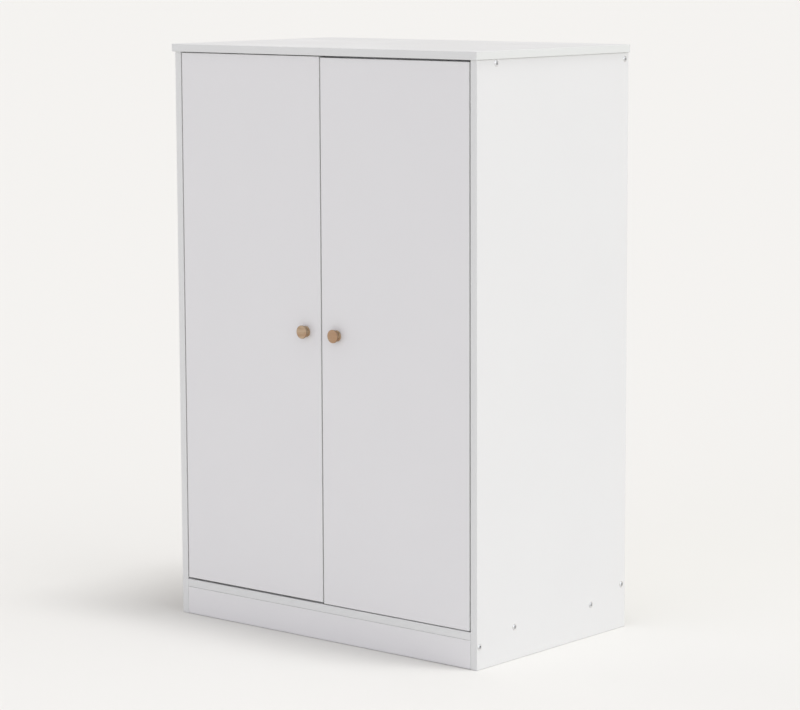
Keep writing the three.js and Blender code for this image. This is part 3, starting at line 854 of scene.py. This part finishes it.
# a start mesh of loose points, each with the direction that its screw's head faces
def aimedPoints(name, places):
    mesh = bpy.data.meshes.new(name)
    mesh.from_pydata([point for point, _ in places], [], [])
    aims = [number for _, aim in places for number in aim]
    mesh.attributes.new("aim", "FLOAT_VECTOR", "POINT").data.foreach_set("vector", aims)
    return mesh


screwTree = makeScrewTree()
nailTree = makeNailTree()
screwModels = {kind: screwModel(kind + " screw model", sizes) for kind, sizes in screws.items()}


def placeScrews(name, kind, places, body, nodes, seed):
    values = {"Screw": screwModels[kind], "Finish": zincFinish, "Seed": seed}
    return finished(grown(name, aimedPoints(name, places), screwTree, values), body, nodes)


def middle(box):
    return (box[0] + box[1]) / 2


panelScrews = ("front_rail", "top_batten", "plinth", "bottom_front", "bottom_rear", "low_batten")
hingeScrews = {
    "cupSpread": 24,  # above and below the middle of the hinge cup
    "cupOffset": 6,  # and past it, towards the middle of the door
    "plateSpread": 16,
    "plateThickness": 2.5,
    "armPlaces": (10, 34),  # in from the rear end of the arm
    "armHeight": 9,
}
knobScrewHead = 2.4  # the knob screw's head, from its seat to its top


def placeCarcassScrews():
    panelPlaces, panelNodes, topPlaces, topNodes = [], [], [], []
    flangePlaces, flangeNodes, padPlaces, armPlaces = [], [], [], []
    for side in sides:
        inward = inwards[side]
        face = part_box(side + "_side_panel")[0 if side == "left" else 1].x
        for name in panelScrews:
            node = f"{side}_screw_{name}"
            centre = middle(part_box(node))
            panelPlaces.append(((face, centre.y, centre.z), (-inward, 0, 0)))
            panelNodes.append(node)
        for name in ("front", "rear"):
            node = f"{side}_top_screw_{name}"
            low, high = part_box(node)
            centre = middle((low, high))
            topPlaces.append(((centre.x, centre.y, low.z), (0, 0, -1)))
            topNodes.append(node)
        for number in (1, 2):
            node = f"{side}_rail_screw_{number}"
            low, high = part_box(node)
            centre = middle((low, high))
            crown = screws["flange"]["dome"] * mm
            seat = high.x - crown if side == "left" else low.x + crown
            flangePlaces.append(((seat, centre.y, centre.z), (inward, 0, 0)))
            flangeNodes.append(node)
        for row in hingeRows:
            low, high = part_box(f"{side}_hinge_{row}_plate")
            wall = low.x if side == "left" else high.x
            pad = wall + inward * hingeScrews["plateThickness"] * mm
            for up in (-1, 1):
                height = middle((low, high)).z + up * hingeScrews["plateSpread"] * mm
                padPlaces.append(((pad, middle((low, high)).y, height), (inward, 0, 0)))
            armLow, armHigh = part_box(f"{side}_hinge_{row}_arm")
            foot = armLow.x if side == "left" else armHigh.x
            top = foot + inward * hingeScrews["armHeight"] * mm
            for inset in hingeScrews["armPlaces"]:
                armPlaces.append(((top, armHigh.y - inset * mm, middle((armLow, armHigh)).z), (inward, 0, 0)))
    placeScrews("panel-screws", "panel", panelPlaces, "carcass", panelNodes, 11)
    placeScrews("top-screws", "top", topPlaces, "carcass", topNodes, 12)
    placeScrews("flange-screws", "flange", flangePlaces, "carcass", flangeNodes, 13)
    placeScrews("plate-screws", "hinge", padPlaces, "carcass", [], 14)
    placeScrews("arm-screws", "arm", armPlaces, "carcass", [], 15)


def placeDoorScrews(side):
    cupPlaces = []
    for row in hingeRows:
        low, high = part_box(f"{side}_hinge_{row}_cup")
        centre = middle((low, high))
        for up in (-1, 1):
            x = centre.x + inwards[side] * hingeScrews["cupOffset"] * mm
            cupPlaces.append(((x, high.y, centre.z + up * hingeScrews["cupSpread"] * mm), (0, 1, 0)))
    placeScrews(side + "-cup-screws", "hinge", cupPlaces, side + "_door", [], 21)
    low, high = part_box(side + "_knob_screw")
    centre = middle((low, high))
    knobPlace = [((centre.x, high.y - knobScrewHead * mm, centre.z), (0, 1, 0))]
    placeScrews(
        side + "-knob-screw", "knob", knobPlace, side + "_door", [side + "_knob_screw"], 31
    )


backNails = {"spacing": 110, "edgeInset": 4.5, "endInset": 30, "lean": 0.05}


# rows of nails round the outer edges of the two back leaves, into the side panels and the battens
def placeNails():
    points = []
    battenRows = [middle(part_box("top_rear_batten")).z, middle(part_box("low_rear_batten")).z]
    for side in sides:
        low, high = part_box(side + "_back_leaf")
        outer = low.x if side == "left" else high.x
        inner = high.x if side == "left" else low.x
        x = outer + inwards[side] * backNails["edgeInset"] * mm
        end = backNails["endInset"] * mm
        points += [(x, high.y, low.z + end), (x, high.y, high.z - end)]
        for height in battenRows:
            points.append((outer + inwards[side] * end, high.y, height))
            points.append((inner - inwards[side] * end, high.y, height))
    edges = [(i, i + 1) for i in range(0, len(points), 2)]
    paths = bpy.data.meshes.new("nail paths")
    paths.from_pydata(points, edges, [])
    values = {"Nail": nailModel(), "Finish": zincFinish, "Spacing": backNails["spacing"] * mm}
    values["Lean"] = backNails["lean"]
    finished(grown("back-nails", paths, nailTree, values), "carcass", [])


placeCarcassScrews()
for side in sides:
    placeDoorScrews(side)
placeNails()
for model in [*screwModels.values(), bpy.data.objects["nail model"]]:
    bpy.data.objects.remove(model)
print("screws and nails ready")


knobs = {
    "faceRadius": 13.5,
    # share of the way from the face to the door, and radius as a share of the face's
    "outline": [
        (0.0, 0.911), (0.012, 0.95), (0.03, 0.978), (0.055, 0.994), (0.083, 1.0), (0.2, 1.0),
        (0.222, 0.985), (0.245, 0.9), (0.3, 0.7), (0.37, 0.615), (0.5, 0.607), (0.7, 0.607),
        (0.745, 0.63), (0.785, 0.76), (0.815, 0.81), (0.85, 0.83), (1.0, 0.83),
    ],
    "steps": 110,
    "sides": 96,
}


# a turned knob: a line from the face to the door swept with a circle whose radius follows the outline
def makeKnobTree():
    tree, start, end = newGeometryTree(
        "turned knob",
        [
            ("Face", "NodeSocketVector", (0.0, 0.0, 0.0)),
            ("Seat", "NodeSocketVector", (0.0, 0.013, 0.0)),
            ("Face Radius", "NodeSocketFloat", 0.014),
            ("Steps", "NodeSocketInt", 100),
            ("Sides", "NodeSocketInt", 96),
            ("Finish", "NodeSocketMaterial", None),
        ],
    )
    axis = addNode(
        tree, "GeometryNodeCurvePrimitiveLine", Start=start.outputs["Face"], End=start.outputs["Seat"]
    )
    steps = addNode(tree, "GeometryNodeResampleCurve", {"mode": "COUNT"}, Curve=axis.outputs[0])
    setInput(tree, steps, "Count", start.outputs["Steps"])
    along = addNode(tree, "GeometryNodeSplineParameter")
    outline = addNode(tree, "ShaderNodeFloatCurve", Value=along.outputs["Factor"])
    curve = outline.mapping.curves[0]
    first, last = knobs["outline"][0], knobs["outline"][-1]
    curve.points[0].location = first
    curve.points[1].location = last
    for point in knobs["outline"][1:-1]:
        curve.points.new(*point)
    outline.mapping.update()
    radius = maths(tree, "MULTIPLY", outline.outputs[0], start.outputs["Face Radius"])
    # the share along the knob is kept so that the wood finish can paint shade on the turned edge and the neck
    marked = addNode(tree, "GeometryNodeStoreNamedAttribute", Geometry=steps.outputs[0], Name="along")
    tree.links.new(along.outputs["Factor"], marked.inputs["Value"])
    sized = addNode(tree, "GeometryNodeSetCurveRadius", Curve=marked.outputs[0], Radius=radius)
    ring = addNode(tree, "GeometryNodeCurvePrimitiveCircle", {"mode": "RADIUS"}, Radius=1.0)
    setInput(tree, ring, "Resolution", start.outputs["Sides"])
    solid = addNode(tree, "GeometryNodeCurveToMesh", Curve=sized.outputs[0])
    setInput(tree, solid, "Profile Curve", ring.outputs[0])
    setInput(tree, solid, "Fill Caps", True)
    radiusNow = addNode(tree, "GeometryNodeInputRadius")
    setInput(tree, solid, "Scale", radiusNow.outputs[0])
    endTree(tree, end, solid.outputs[0], start.outputs["Finish"])
    return tree


def makeKnobs():
    tree = makeKnobTree()
    for side in sides:
        low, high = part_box(side + "_knob")
        centre = middle((low, high))
        values = {
            "Face": (centre.x, low.y, centre.z),
            "Seat": (centre.x, high.y, centre.z),
            "Face Radius": knobs["faceRadius"] * mm,
            "Steps": knobs["steps"],
            "Sides": knobs["sides"],
            "Finish": knobFinish,
        }
        seed = bpy.data.meshes.new(side + "-knob")
        knob = grown(side + "-knob", seed, tree, values)
        finished(knob, side + "_door", [side + "_knob"])


makeKnobs()
print("knobs ready")


rail = {"radius": 12.5, "wall": 1.0, "endRound": 0.3, "sides": 96}
flange = {
    "radius": 24.0, "thickness": 3.0, "rim": 1.2, "slope": 2.2,
    "collarInner": 12.8, "collarOuter": 14.8, "round": 0.6, "sides": 96,
}


def makeRail():
    low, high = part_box("hanging_rail")
    half = (high.x - low.x) / 2 / mm
    inner = rail["radius"] - rail["wall"]
    outline = [(rail["radius"], -half), (rail["radius"], half), (inner, half), (inner, -half)]
    bm = bmesh.new()
    lathe(bm, filleted(outline, rail["endRound"], 3, closed=True), rail["sides"], loop=True)
    place = Matrix.Translation(middle((low, high))) @ Matrix.Rotation(math.pi / 2, 4, "Y")
    finished(pieceFrom(bm, "hanging-rail", chromeFinish, place), "carcass", ["hanging_rail"])
    for side in sides:
        makeFlange(side)


# a pressed disc against the side panel with a collar that takes the rail's end
def makeFlange(side):
    low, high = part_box(side + "_rail_flange")
    length = (high.x - low.x) / mm
    disc = [
        (flange["radius"], 0), (flange["radius"], flange["rim"]),
        (flange["radius"] - flange["slope"], flange["thickness"]),
        (flange["collarOuter"], flange["thickness"]), (flange["collarOuter"], length),
        (flange["collarInner"], length), (flange["collarInner"], flange["thickness"]),
    ]
    bm = bmesh.new()
    outline = [(0, 0), *filleted(disc, flange["round"], 3), (0, flange["thickness"])]
    lathe(bm, outline, flange["sides"])
    wall = low.x if side == "left" else high.x
    centre = middle((low, high))
    turn = Matrix.Rotation(inwards[side] * math.pi / 2, 4, "Y")
    place = Matrix.Translation((wall, centre.y, centre.z)) @ turn
    piece = pieceFrom(bm, side + "-rail-flange", chromeFinish, place)
    finished(piece, "carcass", [side + "_rail_flange"])


makeRail()
print("rail ready")


cup = {
    "bowlRadius": 17.5, "wall": 0.8, "rimRadius": 19.5, "floor": 0.7, "flangeThickness": 1.2,
    "wingWidth": 13.0, "wingOffset": 6.0, "wingRound": 5.5,
    "pinRadius": 1.5, "pinOffset": 7.5, "pinDepth": 8.2,
    "footInset": 0.6, "footRise": 1.5, "fillet": 0.55, "sides": 96, "pinSides": 32,
}
hingeEdges = {"arm": 0.35, "plate": 0.5}


# the cup in the door: a pressed bowl with a rolled rim, wings for two screws, and the pin on which
# the arm turns
def makeCup(side, row):
    low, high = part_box(f"{side}_hinge_{row}_cup")
    centre = middle((low, high))
    depth = (high.y - low.y) / mm
    top, seat = depth, depth - cup["flangeThickness"]
    inner = cup["bowlRadius"] - cup["wall"]
    outline = [
        (0, 0), (cup["bowlRadius"] - cup["footInset"], 0), (cup["bowlRadius"], cup["footRise"]),
        (cup["bowlRadius"], seat),
        (cup["rimRadius"], seat), (cup["rimRadius"], top), (inner, top), (inner, cup["floor"] + 0.5),
        (inner - 0.5, cup["floor"]), (0, cup["floor"]),
    ]
    bm = bmesh.new()
    lathe(bm, filleted(outline, cup["fillet"], 3), cup["sides"])
    reach, half = (high.z - low.z) / 2 / mm, cup["wingWidth"] / 2
    x0, x1 = cup["wingOffset"] - half, cup["wingOffset"] + half
    clear = math.sqrt(inner ** 2 - x1 ** 2) + 1.2
    for up in (-1, 1):
        wing = [(x0, up * clear), (x1, up * clear), (x1, up * reach), (x0, up * reach)]
        slab(bm, filleted(wing, cup["wingRound"], 8, closed=True), seat + 0.02, top - 0.06)
    pinHalf = math.sqrt(inner ** 2 - cup["pinOffset"] ** 2) + 0.1
    before = set(bm.verts)
    pinOutline = [(0, -pinHalf), (cup["pinRadius"], -pinHalf), (cup["pinRadius"], pinHalf), (0, pinHalf)]
    lathe(bm, pinOutline, cup["pinSides"])
    pin = [v for v in bm.verts if v not in before]
    pinPlace = Matrix.Translation((-cup["pinOffset"], 0, seat - cup["pinDepth"]))
    bmesh.ops.transform(bm, matrix=pinPlace @ Matrix.Rotation(math.pi / 2, 4, "X"), verts=pin)
    # the bowl's own Z becomes the door's rearward direction, and its Y the height
    facing = Matrix(((inwards[side], 0, 0, 0), (0, 0, 1, 0), (0, 1, 0, 0), (0, 0, 0, 1)))
    place = Matrix.Translation((centre.x, low.y, centre.z)) @ facing
    piece = pieceFrom(bm, f"{side}-{row}-hinge-cup", nickelFinish, place)
    finished(piece, side + "_door", [f"{side}_hinge_{row}_cup"])


def makeHinges():
    for side in sides:
        for row in hingeRows:
            makeCup(side, row)
            for part, edge in hingeEdges.items():
                node = f"{side}_hinge_{row}_{part}"
                piece = softened(node, f"{side}-{row}-hinge-{part}", edge)
                piece.data.materials.append(nickelFinish)
                finished(piece, "carcass", [node])


makeHinges()
print("hinges ready")


studio = {
    "floorColour": (0.77, 0.7635, 0.737, 1),
    "floorReach": 300,  # metres
    "floorDrop": 0.0002,  # metres under the feet
    # each glow: where its middle lies, how tight it is, and its colour
    "glows": (
        ((1.0, 0.0, 0.0), 2, (1.64, 1.67, 1.70)),
        ((0.0, 1.0, 0.0), 4, (0.90, 0.89, 0.86)),
        ((0.0, 0.0, 1.0), 2, (0.78, 0.76, 0.77)),
        ((-0.966, 0.0, 0.259), 4, (1.02, 1.01, 0.97)),
        ((0.0, -0.998, 0.07), 8, (1.70, 1.66, 1.96)),
    ),
    "keyTurn": 20.7,  # degrees behind the right-hand side
    "keyWidth": 10,
    "keys": ((66, 0.018), (74, 0.15), (82, 0.187)),  # height in degrees, and share of the floor's light
}


def makeFloor():
    reach = studio["floorReach"]
    bm = bmesh.new()
    bmesh.ops.create_grid(bm, x_segments=1, y_segments=1, size=reach)
    mesh = bpy.data.meshes.new("floor")
    bm.to_mesh(mesh)
    bm.free()
    material, _, shader = newFinish("pale floor")
    shader.inputs["Base Color"].default_value = studio["floorColour"]
    shader.inputs["Roughness"].default_value = 1.0
    shader.inputs["Specular IOR Level"].default_value = 0.0
    mesh.materials.append(material)
    floor = newObject("floor", mesh)
    floor.location.z = -studio["floorDrop"]


# a soft room: broad glows from the right, the back, overhead, the left and low in front
def makeRoomLight():
    world = bpy.data.worlds.new("studio")
    world.use_nodes = True
    bpy.context.scene.world = world
    tree = world.node_tree
    direction = addNode(tree, "ShaderNodeTexCoord").outputs["Generated"]
    total = (0.0, 0.0, 0.0, 1)
    for towards, tightness, colour in studio["glows"]:
        facing = addNode(tree, "ShaderNodeVectorMath", {"operation": "DOT_PRODUCT"}, i0=direction, i1=towards)
        lobe = maths(tree, "POWER", maths(tree, "MAXIMUM", facing.outputs["Value"], 0.0), float(tightness))
        lit = addNode(tree, "ShaderNodeVectorMath", {"operation": "SCALE"}, i0=colour, Scale=lobe)
        total = mixColour(tree, 1.0, total, lit.outputs[0], "ADD")
    background = tree.nodes["Background"]
    tree.links.new(total, background.inputs["Color"])
    background.inputs["Strength"].default_value = 1.0


# narrow suns one above the other stand in for a tall soft lamp high on the right
def makeKeyLights():
    turn = math.radians(studio["keyTurn"])
    for height, share in studio["keys"]:
        rise = math.radians(height)
        lamp = bpy.data.lights.new(f"key {height}", "SUN")
        lamp.angle = math.radians(studio["keyWidth"])
        lamp.energy = math.pi * share / math.sin(rise)
        key = bpy.data.objects.new(f"key {height}", lamp)
        bpy.context.scene.collection.objects.link(key)
        towards = Vector((math.cos(turn) * math.cos(rise), math.sin(turn) * math.cos(rise), math.sin(rise)))
        key.rotation_mode = "QUATERNION"
        key.rotation_quaternion = towards.to_track_quat("Z", "Y")


view = {
    "azimuth": 40.345,  # degrees round to the right from the front
    "elevation": 8.034,
    "distance": 6.015,  # metres from the aim
    "aim": (0.003, 0.0028, 0.5597),
    "roll": -0.222,
    "lens": 130.81,
}


def makeCamera():
    data = bpy.data.cameras.new("camera")
    data.lens = view["lens"]
    data.sensor_width = 36
    data.clip_start, data.clip_end = 0.05, 500
    camera = bpy.data.objects.new("camera", data)
    bpy.context.scene.collection.objects.link(camera)
    a, e = math.radians(view["azimuth"]), math.radians(view["elevation"])
    back = Vector((math.sin(a) * math.cos(e), -math.cos(a) * math.cos(e), math.sin(e)))
    camera.location = Vector(view["aim"]) + back * view["distance"]
    camera.rotation_mode = "QUATERNION"
    roll = Quaternion((0, 0, 1), math.radians(view["roll"]))
    camera.rotation_quaternion = (-back).to_track_quat("-Z", "Y") @ roll
    bpy.context.scene.camera = camera


makeFloor()
makeRoomLight()
makeKeyLights()
makeCamera()
bpy.context.scene.view_settings.view_transform = "Standard"
bpy.context.scene.view_settings.look = "None"
print("studio ready")
